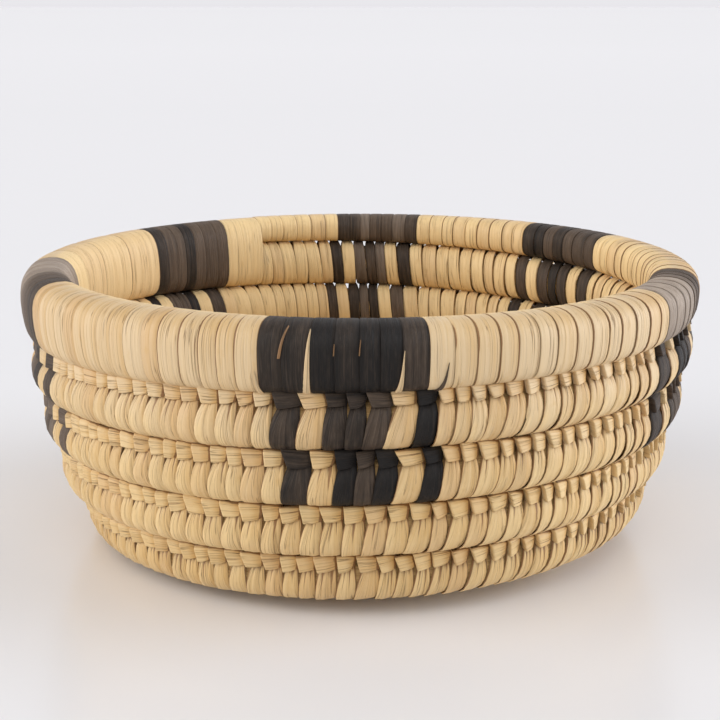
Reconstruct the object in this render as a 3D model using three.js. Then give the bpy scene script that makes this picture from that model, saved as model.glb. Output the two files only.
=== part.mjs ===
// Coiled basket: one long grass bundle wound from the middle of the base up to the rim, and sewn to
// itself with strips of split leaf. Millimetres, +Z up, -Y is the front, origin under the base's middle.
import * as THREE from "three";

// The coil and its sewing
const COIL_DIAMETER = 16.7; // one sewn turn, over its strips
const TURN_GAP = 1.1; // between the sewn surfaces of neighbouring turns
const STRIP_THICKNESS = 1.2; // the layer of strips round the bundle
const BUNDLE_CLEARANCE = 0.3; // between the bundle and the strips round it
const SEAM_GAP = 0.3; // along the coil, where one run of strips ends and the next begins
const START_DIAMETER = 5; // the thin start of the coil, in the middle of the base
const START_RADIUS = 3.4; // from the axis to the middle of that thin start

// The bowl, measured to the middle of the coil
const FLOOR_RADIUS = 83; // the flat base ends here
const BEND_RADIUS = 8; // the turn from base to wall
const FOOT_LEAN = THREE.MathUtils.degToRad(24); // of the wall's foot, outwards from upright
const WALL_CURVE_RADIUS = 185; // the wall's barrel curve, which brings it upright near the rim
const WALL_TURNS = 5; // from the end of the flat base to the coil's tail, the rim being the last
const CLIMB_SWING = 0.9; // how far the climb runs ahead on the left and behind on the right

// The rim: the last turn is level on top, so it tapers from its start to the coil's tail
const RIM_WIDTH = 17;
const TAIL_HEIGHT = 8.8; // of the rim, where the coil ends
const TAIL_ANGLE = THREE.MathUtils.degToRad(114);
const MERGE_TURN = 0.06; // of a turn, in which the bundle swells into the rim
const MERGE_PINCH = 0.3; // share of its thickness that the bundle loses where the swelling starts

// Knots lie in the outer groove between two wall turns
const KNOT_DIAMETER = 3.4;
const KNOT_CLEARANCE = 0.75;

// Dark blocks round the rim and the two turns below it: middle and width, in degrees from +X
const DARK_BLOCKS = [
  { middle: 38.5, width: 22 },
  { middle: 85.7, width: 18.5 },
  { middle: 132.5, width: 20 },
  { middle: 195, width: 27 },
  { middle: 267.5, width: 24 },
  { middle: 336.5, width: 27 },
];
const PATTERNED_TURNS = 2; // below the rim

// Facets
const STRIP_SIDES = 8;
const BUNDLE_SIDES = 6;
const KNOT_SIDES = 6;
const TURN_STEPS = 36;
const LEAST_RING_TURN = 0.002; // rings that lie closer than this are one
const INNER_TURN_STEPS = 18; // on the small turns in the middle of the base
const LEAST_STEPS = 2; // in a run, however short

// Runs of strips on the base, from its middle outwards
const BASE_RUNS = 5;
const INNER_RUNS = 2; // of these, the ones that count as small

const NATURAL_LEAF = { color: 0xdcbd84, roughness: 0.62, metalness: 0 };
const DARK_LEAF = { color: 0x43372f, roughness: 0.55, metalness: 0 };
const GRASS = { color: 0xb98f52, roughness: 0.85, metalness: 0 };

const FULL_TURN = 2 * Math.PI;
const HALF_TURN = 0.5; // counted in turns
const COIL_RADIUS = COIL_DIAMETER / 2;
const PITCH = COIL_DIAMETER + TURN_GAP;

// Where the coil's middle lies in a half plane through the axis, after a length along the bowl's section
function bowlSection(length) {
  const footSlope = Math.PI / 2 - FOOT_LEAN;
  const bendLength = BEND_RADIUS * footSlope;
  const bent = THREE.MathUtils.clamp(length - FLOOR_RADIUS, 0, bendLength);
  const climbed = Math.max(length - FLOOR_RADIUS - bendLength, 0);
  const bendSlope = bent / BEND_RADIUS;
  const slope = bendSlope + climbed / WALL_CURVE_RADIUS;
  const radius =
    Math.min(length, FLOOR_RADIUS) +
    BEND_RADIUS * Math.sin(bendSlope) +
    WALL_CURVE_RADIUS * (Math.sin(slope) - Math.sin(bendSlope));
  const height =
    COIL_RADIUS +
    BEND_RADIUS * (1 - Math.cos(bendSlope)) +
    WALL_CURVE_RADIUS * (Math.cos(bendSlope) - Math.cos(slope));
  return { radius, height, slope };
}

// The value between two others at which a rising function reaches a target, halved down until no number
// lies between them
function solve(rising, target, from, to) {
  let low = from;
  let high = to;
  let middle = (low + high) / 2;
  while (middle > low && middle < high) {
    if (rising(middle) < target) low = middle;
    else high = middle;
    middle = (low + high) / 2;
  }
  return high;
}

// The coil grows to its full thickness in its first turn
function coilRadius(turn) {
  return THREE.MathUtils.lerp(START_DIAMETER / 2, COIL_RADIUS, Math.min(turn, 1));
}

// From the middle of the coil a turn earlier to its middle now
function reachFromTurnBefore(turn) {
  return coilRadius(turn - 1) + coilRadius(turn) + TURN_GAP;
}

// The length along the section on an even, flat spiral
function evenLength(turn) {
  if (turn < 1) return START_RADIUS + reachFromTurnBefore(1) * turn;
  return evenLength(turn - 1) + reachFromTurnBefore(turn);
}

const BASE_TURNS = solve(evenLength, FLOOR_RADIUS, 0, 1 + FLOOR_RADIUS / PITCH);
const TAIL_TURN = BASE_TURNS + WALL_TURNS;
const RIM_TURN = TAIL_TURN - 1;

function angleAtTurn(turn) {
  return TAIL_ANGLE - FULL_TURN * (TAIL_TURN - turn);
}

// The length along the section at a turn: each turn lies against the one before it
function lengthAtTurn(turn) {
  if (turn < 1) return evenLength(turn) - CLIMB_SWING * Math.cos(angleAtTurn(turn));
  const lengthBefore = lengthAtTurn(turn - 1);
  const before = bowlSection(lengthBefore);
  const apart = (length) => {
    const here = bowlSection(length);
    return Math.hypot(here.radius - before.radius, here.height - before.height);
  };
  const reach = reachFromTurnBefore(turn);
  return solve(apart, reach, lengthBefore, lengthBefore + 2 * reach);
}

// A section of the coil: its middle, its slope and its half sizes along and across the bowl's wall
function coilSection(turn) {
  const { radius, height, slope } = bowlSection(lengthAtTurn(turn));
  const half = coilRadius(turn);
  return { radius, height, slope, halfAlong: half, halfAcross: half };
}

const RIM_LEVEL = (() => {
  const below = coilSection(RIM_TURN);
  return below.height + COIL_RADIUS + TURN_GAP + TAIL_HEIGHT;
})();

// The rim stands on the turn below it, half as far out of upright as the wall there, and reaches up to one
// level all the way round
function rimSection(turn) {
  const below = coilSection(turn - 1);
  const slope = (below.slope + Math.PI / 2) / 2;
  const room = (RIM_LEVEL - below.height) / Math.sin(slope) - COIL_RADIUS - TURN_GAP;
  const halfAlong = room / 2;
  const width = Math.min(RIM_WIDTH, (RIM_WIDTH + room) / 2);
  const rise = COIL_RADIUS + TURN_GAP + halfAlong;
  return {
    radius: below.radius + rise * Math.cos(slope),
    height: below.height + rise * Math.sin(slope),
    slope,
    halfAlong,
    halfAcross: width / 2,
  };
}

function inset(section, depth) {
  return {
    ...section,
    halfAlong: section.halfAlong - depth,
    halfAcross: section.halfAcross - depth,
  };
}

function bundleIn(section) {
  return inset(section, STRIP_THICKNESS + BUNDLE_CLEARANCE);
}

// At the rim's start the bundle is pinched, and from there it swells from the turn below into the rim
function bundleSection(turn) {
  const wall = bundleIn(coilSection(turn));
  const rim = turn > RIM_TURN ? bundleIn(rimSection(turn)) : wall;
  const merged = THREE.MathUtils.smoothstep(turn, RIM_TURN, RIM_TURN + MERGE_TURN);
  const nearness = Math.max(0, 1 - Math.abs(turn - RIM_TURN) / MERGE_TURN);
  const pinch = 1 - MERGE_PINCH * nearness;
  const between = (key) => THREE.MathUtils.lerp(wall[key], rim[key], merged);
  return {
    radius: between("radius"),
    height: between("height"),
    slope: between("slope"),
    halfAlong: between("halfAlong") * pinch,
    halfAcross: between("halfAcross") * pinch,
  };
}

// A point of a half plane through the axis, turned to its place round the axis
function turned(radius, height, angle) {
  return new THREE.Vector3(radius * Math.cos(angle), radius * Math.sin(angle), height);
}

// A section's outline at a turn, as corners on that outline or, for a share over 1, outside it. What would
// reach below the floor is pressed flat
function sectionRing(section, turn, sides, share = 1) {
  const angle = angleAtTurn(turn);
  const outwards = [Math.sin(section.slope), -Math.cos(section.slope)];
  const upwards = [Math.cos(section.slope), Math.sin(section.slope)];
  return Array.from({ length: sides }, (_, side) => {
    const corner = ((side + 0.5) * FULL_TURN) / sides;
    const across = share * section.halfAcross * Math.cos(corner);
    const along = share * section.halfAlong * Math.sin(corner);
    return turned(
      section.radius + across * outwards[0] + along * upwards[0],
      Math.max(0, section.height + across * outwards[1] + along * upwards[1]),
      angle,
    );
  });
}

// A ring whose facets touch the section's outline, so that it is flat below and beside its neighbours
function stripRing(section, turn) {
  return sectionRing(section, turn, STRIP_SIDES, 1 / Math.cos(Math.PI / STRIP_SIDES));
}

// Adds the triangles from ring to ring, and returns the index of a ring's corner
function skin(rings, triangles, flipped, firstIndex) {
  const sides = rings[0].length;
  const corner = (ring, side) => firstIndex + ring * sides + (side % sides);
  const add = (a, b, c) => triangles.push(...(flipped ? [a, c, b] : [a, b, c]));
  for (let ring = 0; ring + 1 < rings.length; ring += 1) {
    for (let side = 0; side < sides; side += 1) {
      add(corner(ring, side), corner(ring + 1, side), corner(ring + 1, side + 1));
      add(corner(ring, side), corner(ring + 1, side + 1), corner(ring, side + 1));
    }
  }
  return corner;
}

function toGeometry(points, triangles) {
  const geometry = new THREE.BufferGeometry().setFromPoints(points);
  geometry.setIndex(triangles);
  geometry.computeVertexNormals();
  return geometry;
}

// A solid rod through rings
function rodGeometry(rings) {
  const triangles = [];
  const corner = skin(rings, triangles, false, 0);
  const last = rings.length - 1;
  for (let side = 1; side + 1 < rings[0].length; side += 1) {
    triangles.push(corner(0, 0), corner(0, side), corner(0, side + 1));
    triangles.push(corner(last, 0), corner(last, side + 1), corner(last, side));
  }
  return toGeometry(rings.flat(), triangles);
}

// A sleeve between outer and inner rings, open at both ends
function sleeveGeometry(outerRings, innerRings) {
  const triangles = [];
  const outer = skin(outerRings, triangles, false, 0);
  const inner = skin(innerRings, triangles, true, outerRings.flat().length);
  const last = outerRings.length - 1;
  for (let side = 0; side < outerRings[0].length; side += 1) {
    triangles.push(outer(0, side), outer(0, side + 1), inner(0, side + 1));
    triangles.push(outer(0, side), inner(0, side + 1), inner(0, side));
    triangles.push(outer(last, side), inner(last, side + 1), outer(last, side + 1));
    triangles.push(outer(last, side), inner(last, side), inner(last, side + 1));
  }
  return toGeometry([...outerRings, ...innerRings].flat(), triangles);
}

// Turns from one to another in even steps
function turnsBetween(from, to, steps) {
  return Array.from({ length: steps + 1 }, (_, step) => THREE.MathUtils.lerp(from, to, step / steps));
}

function stepsBetween(from, to, turnSteps) {
  return Math.max(LEAST_STEPS, Math.round((to - from) * turnSteps));
}

const basket = new THREE.Group();
const stripTurns = [];

function addPiece(name, geometry, finish) {
  const piece = new THREE.Mesh(geometry, new THREE.MeshStandardMaterial(finish));
  piece.name = name;
  basket.add(piece);
}

// A run of strips round the coil, from one turn to another
function addStrips(name, from, to, sectionOf, finish, turnSteps = TURN_STEPS) {
  const seam = (turn) => SEAM_GAP / 2 / (FULL_TURN * sectionOf(turn).radius);
  const first = from === 0 ? from : from + seam(from);
  const last = to - seam(to);
  const turns = turnsBetween(first, last, stepsBetween(first, last, turnSteps));
  stripTurns.push(...turns);
  const outer = turns.map((turn) => stripRing(sectionOf(turn), turn));
  const inner = turns.map((turn) => stripRing(inset(sectionOf(turn), STRIP_THICKNESS), turn));
  addPiece(name, sleeveGeometry(outer, inner), finish);
}

// One turn of the pattern: dark blocks, with natural strips before, between and after them
function addPatternedTurn(name, from, sectionOf) {
  const startAngle = angleAtTurn(from);
  const blocks = DARK_BLOCKS.map(({ middle, width }) => {
    const offset = THREE.MathUtils.degToRad(middle - width / 2) - startAngle;
    const start = THREE.MathUtils.euclideanModulo(offset, FULL_TURN) / FULL_TURN;
    return { start: from + start, end: from + start + width / 360 };
  }).sort((a, b) => a.start - b.start);
  let done = from;
  blocks.forEach(({ start, end }, index) => {
    addStrips(`${name}_natural_${index + 1}`, done, start, sectionOf, NATURAL_LEAF);
    addStrips(`${name}_dark_${index + 1}`, start, end, sectionOf, DARK_LEAF);
    done = end;
  });
  addStrips(`${name}_natural_${blocks.length + 1}`, done, from + 1, sectionOf, NATURAL_LEAF);
}

// Turns in order, without those that are too close to the one before
function spacedTurns(turns) {
  const ordered = [...turns].sort((a, b) => a - b);
  return ordered.filter((turn, index) => index === 0 || turn - ordered[index - 1] > LEAST_RING_TURN);
}

// The knots of one row, as a bead in the outer groove between a turn and the turn above it, with its
// rings where the strips of both turns have theirs
function addKnotRow(name, from) {
  const knotRadius = KNOT_DIAMETER / 2;
  const reach = COIL_RADIUS + knotRadius + KNOT_CLEARANCE;
  const outwards = Math.sqrt(reach ** 2 - (PITCH / 2) ** 2);
  const ownTurns = stripTurns.filter((turn) => turn > from && turn < from + 1);
  const turnsAbove = stripTurns.map((turn) => turn - 1).filter((turn) => turn > from && turn < from + 1);
  const rings = spacedTurns([...ownTurns, ...turnsAbove]).map((turn) => {
    const below = coilSection(turn);
    const above = coilSection(turn + 1);
    const slope = Math.atan2(above.height - below.height, above.radius - below.radius);
    const groove = {
      radius: (below.radius + above.radius) / 2 + outwards * Math.sin(slope),
      height: (below.height + above.height) / 2 - outwards * Math.cos(slope),
      slope,
      halfAlong: knotRadius,
      halfAcross: knotRadius,
    };
    return sectionRing(groove, turn, KNOT_SIDES);
  });
  addPiece(name, rodGeometry(rings), NATURAL_LEAF);
}

// The least gap of the bundle to itself, measured between points more than half a turn apart
function leastBundleGap(turns) {
  const points = turns.map((turn) => {
    const section = bundleSection(turn);
    const place = turned(section.radius, section.height, angleAtTurn(turn));
    return { turn, place, reach: Math.max(section.halfAlong, section.halfAcross) };
  });
  let least = Infinity;
  points.forEach((a, index) => {
    points.slice(index + 1).forEach((b) => {
      if (b.turn - a.turn < HALF_TURN) return;
      least = Math.min(least, a.place.distanceTo(b.place) - a.reach - b.reach);
    });
  });
  return least;
}

// The bundle has its rings where the strips have theirs, so that its bends lie inside theirs
function addBundle() {
  const turns = spacedTurns([0, ...stripTurns, TAIL_TURN]);
  const rings = turns.map((turn) => sectionRing(bundleSection(turn), turn, BUNDLE_SIDES));
  addPiece("coil_bundle", rodGeometry(rings), GRASS);
  console.log(`coil_bundle: least gap to itself ${leastBundleGap(turns).toFixed(2)} mm`);
}

// Where a run of base strips ends: they are about equally long, and end on a step of the turns outside them
function baseRunEnd(run) {
  const turnsLeft = BASE_TURNS * (1 - run / BASE_RUNS);
  return BASE_TURNS - Math.round(turnsLeft * INNER_TURN_STEPS) / INNER_TURN_STEPS;
}

function addBaseStrips() {
  for (let run = 1; run <= BASE_RUNS; run += 1) {
    const from = run === 1 ? 0 : baseRunEnd(run - 1);
    const turnSteps = run <= INNER_RUNS ? INNER_TURN_STEPS : TURN_STEPS;
    addStrips(`base_strips_${run}`, from, baseRunEnd(run), coilSection, NATURAL_LEAF, turnSteps);
  }
}

function addWall() {
  const wallTurns = WALL_TURNS - 1;
  for (let index = 1; index <= wallTurns; index += 1) {
    const from = BASE_TURNS + index - 1;
    if (index <= wallTurns - PATTERNED_TURNS) {
      addStrips(`wall_strips_${index}`, from, from + 1, coilSection, NATURAL_LEAF);
    } else {
      addPatternedTurn(`wall_${index}`, from, coilSection);
    }
  }
  addPatternedTurn("rim", RIM_TURN, rimSection);
  for (let index = 1; index <= wallTurns; index += 1) {
    addKnotRow(`knot_row_${index}`, BASE_TURNS + index - 1);
  }
}

addBaseStrips();
addWall();
addBundle();

export default basket;
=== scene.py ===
"""Coiled basket bowl: a grass bundle wound into a coil and sewn to itself with knotted strips of split leaf.

The coil climbs from the middle of the base to a level rim. Each stitch is its own strip, looped round one
turn and tied in the groove to the turn above it. Metres, +Z up, -Y is the front.
"""

from __future__ import annotations

import logging
import math
import random
from collections.abc import Callable
from dataclasses import dataclass, field, replace
from enum import Enum
from functools import lru_cache, reduce
from operator import add

import bmesh
import bpy
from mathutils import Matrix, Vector


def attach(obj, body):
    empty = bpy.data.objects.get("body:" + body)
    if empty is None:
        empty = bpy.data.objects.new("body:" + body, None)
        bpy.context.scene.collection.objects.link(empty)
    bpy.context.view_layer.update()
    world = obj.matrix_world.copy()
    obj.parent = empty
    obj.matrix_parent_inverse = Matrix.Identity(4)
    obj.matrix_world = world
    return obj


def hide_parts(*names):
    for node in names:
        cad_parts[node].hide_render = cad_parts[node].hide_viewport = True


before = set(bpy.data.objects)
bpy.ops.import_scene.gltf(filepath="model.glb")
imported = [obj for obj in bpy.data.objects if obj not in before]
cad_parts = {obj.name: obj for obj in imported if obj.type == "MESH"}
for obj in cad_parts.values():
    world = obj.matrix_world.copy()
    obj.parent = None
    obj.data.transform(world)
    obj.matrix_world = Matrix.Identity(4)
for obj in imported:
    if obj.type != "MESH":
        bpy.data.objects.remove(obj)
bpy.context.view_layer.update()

log = logging.getLogger("basket")

FULL_TURN = 2 * math.pi
MILLIMETRES = 1000.0
SOLVED = 1e-9
WELD = 1e-6
SEEDS = 1 << 30
MIDDLE_TONE = 0.5
STRIP_MAP = "strip"
TONE = "tone"
# Vertex attribute of painted shade: dark in folds, at strip seams, in slits, under and beside knots and along
# sliver edges.
CREASE_SHADE = "crease_shade"
# Vertex attribute of how far a strip's fan is drawn together, plus painted shade towards right edges and knot
# ends and painted light on left edges and inner faces.
GATHER_AND_SHADE = "gather"
Colour = tuple[float, float, float]
Range = tuple[float, float]


# Small sums


def mix(low: float, high: float, share: float) -> float:
    """The value a share of the way from low to high."""
    return low + (high - low) * share


def smooth(low: float, high: float, value: float) -> float:
    """A soft step from 0 at low to 1 at high."""
    share = min(max((value - low) / (high - low), 0.0), 1.0)
    return share * share * (3 - 2 * share)


def first_past(low: float, high: float, is_past: Callable[[float], bool]) -> float:
    """Finds where something passes its aim.

    Args:
        low: A value that isn't past it.
        high: A value that is.
        is_past: Says whether a value is past it.

    Returns:
        The first value past it, nearly.
    """
    while high - low > SOLVED:
        middle = (low + high) / 2
        if is_past(middle):
            high = middle
        else:
            low = middle
    return high


# Finishes


class Socket:
    """A shader socket that can be used in sums."""

    def __init__(self, shader: Shader, socket: bpy.types.NodeSocket) -> None:
        """Holds the socket and the shader that it belongs to."""
        self.shader = shader
        self.socket = socket

    def __add__(self, other: Value) -> Socket:
        """The sum of two values."""
        return self.shader.math("ADD", self, other)

    __radd__ = __add__

    def __sub__(self, other: Value) -> Socket:
        """This value less another."""
        return self.shader.math("SUBTRACT", self, other)

    def __rsub__(self, other: Value) -> Socket:
        """Another value less this one."""
        return self.shader.math("SUBTRACT", other, self)

    def __mul__(self, other: Value) -> Socket:
        """The product of two values."""
        return self.shader.math("MULTIPLY", self, other)

    __rmul__ = __mul__

    def __abs__(self) -> Socket:
        """The value without its sign."""
        return self.shader.math("ABSOLUTE", self)


Value = Socket | float


class Shader:
    """Builds the nodes of one material or world."""

    def __init__(self, owner: bpy.types.Material | bpy.types.World) -> None:
        """Starts without nodes.

        Args:
            owner: The material or the world.
        """
        owner.use_nodes = True
        self.owner = owner
        self.tree = owner.node_tree
        self.tree.nodes.clear()

    def node(self, kind: str, settings: dict, inputs: dict, output: int | str = 0) -> Socket:
        """Adds a node.

        Args:
            kind: The node's type.
            settings: Its properties, set first.
            inputs: Values or sockets by the input's name or number.
            output: The name or number of the output to return.

        Returns:
            The chosen output.
        """
        made = self.tree.nodes.new(kind)
        for key, value in settings.items():
            setattr(made, key, value)
        for key, value in inputs.items():
            if isinstance(value, Socket):
                self.tree.links.new(value.socket, made.inputs[key])
            elif isinstance(value, tuple) and made.inputs[key].type == "RGBA":
                made.inputs[key].default_value = (*value, 1.0)
            else:
                made.inputs[key].default_value = value
        return Socket(self, made.outputs[output])

    def math(self, operation: str, first: Value, second: Value = 0.0) -> Socket:
        """One Math node on two values."""
        return self.node("ShaderNodeMath", {"operation": operation}, {0: first, 1: second})

    def total(self, weights: tuple[float, ...], *values: Socket) -> Socket:
        """The sum of values, each times its weight."""
        return reduce(add, (value * weight for value, weight in zip(values, weights)))

    def ramp(self, value: Socket, low: float, high: float) -> Socket:
        """A soft step from 0 at low to 1 at high, or the other way round."""
        settings = {"interpolation_type": "SMOOTHSTEP"}
        if low <= high:
            return self.node("ShaderNodeMapRange", settings, {0: value, 1: low, 2: high})
        return 1.0 - self.node("ShaderNodeMapRange", settings, {0: value, 1: high, 2: low})

    def within(self, limits: Range, share: Socket) -> Socket:
        """The value a share of the way from the lower limit to the upper."""
        low, high = limits
        return share * (high - low) + low

    def blend(self, share: Value, first: Socket | Colour, second: Socket | Colour) -> Socket:
        """Mixes two colours.

        Args:
            share: How much of the second colour.
            first: The colour at 0.
            second: The colour at 1.

        Returns:
            The mixed colour.
        """
        return self.node("ShaderNodeMix", {"data_type": "RGBA"}, {0: share, 6: first, 7: second}, 2)

    def attribute(self, name: str) -> Socket:
        """A number that the piece's mesh carries."""
        return self.node("ShaderNodeAttribute", {"attribute_name": name}, {}, "Fac")

    def height(self) -> Socket:
        """How high a point lies in its piece, in metres."""
        place = self.node("ShaderNodeTexCoord", {}, {}, "Object")
        return self.node("ShaderNodeSeparateXYZ", {}, {0: place}, "Z")

    def grains(self, tone: Value, *grains: Grain) -> list[Socket]:
        """Noises from 0 to 1 that are drawn out along a strip.

        Args:
            tone: The strip's tone, which sets its noises apart from those of others.
            grains: How fine each of them is.

        Returns:
            The noises in order.
        """
        uv = self.node("ShaderNodeUVMap", {"uv_map": STRIP_MAP}, {})
        across, along = (self.node("ShaderNodeSeparateXYZ", {}, {0: uv}, axis) for axis in ("X", "Y"))
        noises = []
        for grain in grains:
            axes = {"X": across * grain.across, "Y": along * grain.along, "Z": tone * grain.apart}
            place = self.node("ShaderNodeCombineXYZ", {}, axes)
            inputs = {"Vector": place, "Scale": 1.0, "Detail": grain.detail, "Roughness": grain.rough}
            noises.append(self.node("ShaderNodeTexNoise", {}, inputs))
        return noises

    def finish(self, colour: Socket, roughness: Value, height: Socket, depth: float, gloss: float) -> None:
        """Adds the surface.

        Args:
            colour: The base colour.
            roughness: The roughness.
            height: The bump's height, from 0 to 1.
            depth: What a height of 1 stands for, in metres.
            gloss: How strongly it mirrors, the same all over.
        """
        bump = self.node("ShaderNodeBump", {}, {"Strength": 1.0, "Distance": depth, "Height": height})
        inputs = {"Base Color": colour, "Roughness": roughness, "Normal": bump, "Specular IOR Level": gloss}
        self.show(self.node("ShaderNodeBsdfPrincipled", {}, inputs), "ShaderNodeOutputMaterial")

    def show(self, surface: Socket, kind: str) -> None:
        """Links a surface or a background to an output node of the given kind."""
        output = self.tree.nodes.new(kind)
        self.tree.links.new(surface.socket, output.inputs["Surface"])


@dataclass(frozen=True)
class Grain:
    """A noise on a strip: its waves to a millimetre across and along, and how far tones set it apart."""

    across: float
    along: float
    apart: float
    detail: float = 2.0
    rough: float = 0.5


@dataclass(frozen=True)
class NaturalLeaf:
    """Split leaf, pale straw to gold with fine fibres and thin brown lines, and painted light and shade.

    A range is where a colour starts to show and where it is full. A share is how much of it shows then.
    """

    straw: Colour = (0.78, 0.562, 0.276)
    # Painted highlight: paler towards the top of the wall and on the rim, where the light falls.
    top_highlight: Colour = (0.745, 0.562, 0.338)
    # Painted light: a paler straw on the inner faces, which get too little light, and on each strip's left
    # edge.
    painted_light: Colour = (0.885, 0.645, 0.325)
    gold: Colour = (0.64, 0.385, 0.13)
    blush: Colour = (0.68, 0.455, 0.27)
    # Dark brown of the thin fibre lines, and of the painted shade in folds, seams, slits and under knots.
    fold: Colour = (0.23, 0.105, 0.032)
    fibres: Grain = Grain(3.2, 0.05, 57.0, 3.0, 0.6)
    ridges: Grain = Grain(1.5, 0.035, 43.0, 2.0, 0.6)
    bands: Grain = Grain(0.5, 0.05, 31.0)
    stains: Grain = Grain(0.35, 0.22, 83.0, 3.0)
    lines: Grain = Grain(1.1, 0.02, 19.0, 1.0)
    top_highlight_heights: Range = (0.035, 0.085)
    painted_light_range: Range = (0.0, -1.0)
    # The gold comes from fibres, ridges, bands and tone, and through the last weight from the gather
    # attribute's painted shade.
    gold_weights: tuple[float, ...] = (0.3, 0.25, 0.35, 0.25, 0.12)
    gold_range: Range = (0.36, 1.05)
    blush_range: Range = (0.6, 0.95)
    blush_share: float = 0.22
    stain_range: Range = (0.60, 0.78)
    stain_share: float = 0.3
    line_level: float = 0.5
    line_range: Range = (0.016, 0.0)
    line_bands: Range = (0.32, 0.56)
    pleat_range: Range = (-0.2, 0.8)
    pleat_shares: Range = (0.45, 0.8)
    # Painted shade from the crease attribute, broken up by the fibres.
    crease_shade_weights: tuple[float, ...] = (1.0, 0.3)
    crease_shade_range: Range = (0.78, 1.05)
    crease_shade_share: float = 0.9
    rough_range: Range = (0.2, 0.8)
    roughness: Range = (0.44, 0.6)
    relief: tuple[float, ...] = (0.3, 0.6, 0.3, -0.5)
    fibre_depth: float = 0.0004
    gloss: float = 0.45

    def material(self) -> bpy.types.Material:
        """Makes the finish.

        Returns:
            The material.
        """
        shader = Shader(bpy.data.materials.new("natural_leaf"))
        tone = shader.attribute(TONE)
        gather = shader.attribute(GATHER_AND_SHADE)
        fibres, ridges, bands, stains, lines = shader.grains(
            tone, self.fibres, self.ridges, self.bands, self.stains, self.lines
        )
        # Gold from the leaf's own grain and tone, plus painted shade towards right edges and knot ends.
        gilt_and_shade = shader.total(self.gold_weights, fibres, ridges, bands, tone, gather)
        # Painted highlight, paler towards the top.
        colour = shader.blend(shader.ramp(shader.height(), *self.top_highlight_heights), self.straw, self.top_highlight)
        # Painted light on the inner faces and the left edges.
        colour = shader.blend(shader.ramp(gather, *self.painted_light_range), colour, self.painted_light)
        colour = shader.blend(shader.ramp(gilt_and_shade, *self.gold_range), colour, self.gold)
        colour = shader.blend(shader.ramp(tone, *self.blush_range) * self.blush_share, colour, self.blush)
        colour = shader.blend(shader.ramp(stains, *self.stain_range) * self.stain_share, colour, self.gold)
        fleck = shader.ramp(abs(lines - self.line_level), *self.line_range)
        fleck = fleck * shader.ramp(bands, *self.line_bands)
        pleat = fleck * shader.within(self.pleat_shares, shader.ramp(gather, *self.pleat_range))
        # Painted shade in folds, seams, slits and under knots.
        crease_shading = shader.total(self.crease_shade_weights, shader.attribute(CREASE_SHADE), fibres)
        crease_shade = shader.ramp(crease_shading, *self.crease_shade_range) * self.crease_shade_share
        colour = shader.blend(shader.math("MAXIMUM", pleat, crease_shade), colour, self.fold)
        roughness = shader.within(self.roughness, shader.ramp(fibres, *self.rough_range))
        height = shader.total(self.relief, fibres, ridges, bands, fleck)
        shader.finish(colour, roughness, height, self.fibre_depth, self.gloss)
        return shader.owner


@dataclass(frozen=True)
class DarkLeaf:
    """Split leaf dyed black to grey-brown, with paler fibres and a painted sheen that greys it most where it
    stands highest.

    A range is where a colour starts to show and where it is full. A share is how much of it shows then.
    """

    black: Colour = (0.0075, 0.0058, 0.0048)
    brown: Colour = (0.105, 0.071, 0.047)
    # Grey for the highest tones: partly dye, partly painted sheen.
    grey: Colour = (0.48, 0.386, 0.306)
    fibre: Colour = (0.20, 0.145, 0.105)
    fibres: Grain = Grain(3.4, 0.06, 57.0, 3.0, 0.65)
    bands: Grain = Grain(0.6, 0.06, 31.0)
    wear: Grain = Grain(1.2, 0.35, 83.0, 3.0)
    dye_weights: tuple[float, ...] = (1.0, 0.5)
    brown_range: Range = (0.20, 1.25)
    grey_range: Range = (1.1, 2.1)
    top_sheen_heights: Range = (0.076, 0.091)
    top_sheen_shares: Range = (0.65, 1.0)
    streak_weights: tuple[float, ...] = (0.8, 0.35, 0.2)
    streak_range: Range = (0.62, 0.90)
    streak_shares: Range = (0.1, 0.6)
    gap_weights: tuple[float, ...] = (0.7, 0.3)
    gap_range: Range = (0.48, 0.34)
    gap_share: float = 0.6
    # Painted shade from the crease attribute.
    crease_shade_range: Range = (0.75, 1.0)
    crease_shade_share: float = 0.45
    rough_range: Range = (0.25, 0.75)
    roughness: Range = (0.43, 0.68)
    relief: tuple[float, ...] = (0.7, 0.5)
    fibre_depth: float = 0.0005
    gloss: float = 0.22

    def material(self) -> bpy.types.Material:
        """Makes the finish.

        Returns:
            The material.
        """
        shader = Shader(bpy.data.materials.new("dark_leaf"))
        tone = shader.attribute(TONE)
        fibres, bands, wear = shader.grains(tone, self.fibres, self.bands, self.wear)
        dye = shader.total(self.dye_weights, tone, bands)
        colour = shader.blend(shader.ramp(dye, *self.brown_range), self.black, self.brown)
        # Painted sheen: more grey towards the top.
        top_sheen = shader.within(self.top_sheen_shares, shader.ramp(shader.height(), *self.top_sheen_heights))
        colour = shader.blend(shader.ramp(dye, *self.grey_range) * top_sheen, colour, self.grey)
        streaks = shader.ramp(shader.total(self.streak_weights, fibres, wear, bands), *self.streak_range)
        colour = shader.blend(streaks * shader.within(self.streak_shares, tone), colour, self.fibre)
        gaps = shader.ramp(shader.total(self.gap_weights, fibres, bands), *self.gap_range)
        colour = shader.blend(gaps * self.gap_share, colour, self.black)
        # Painted shade in folds, seams and under knots.
        crease_shades = shader.ramp(shader.attribute(CREASE_SHADE), *self.crease_shade_range)
        colour = shader.blend(crease_shades * self.crease_shade_share, colour, self.black)
        roughness = shader.within(self.roughness, shader.ramp(fibres, *self.rough_range))
        height = shader.total(self.relief, fibres, bands)
        shader.finish(colour, roughness, height, self.fibre_depth, self.gloss)
        return shader.owner


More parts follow.
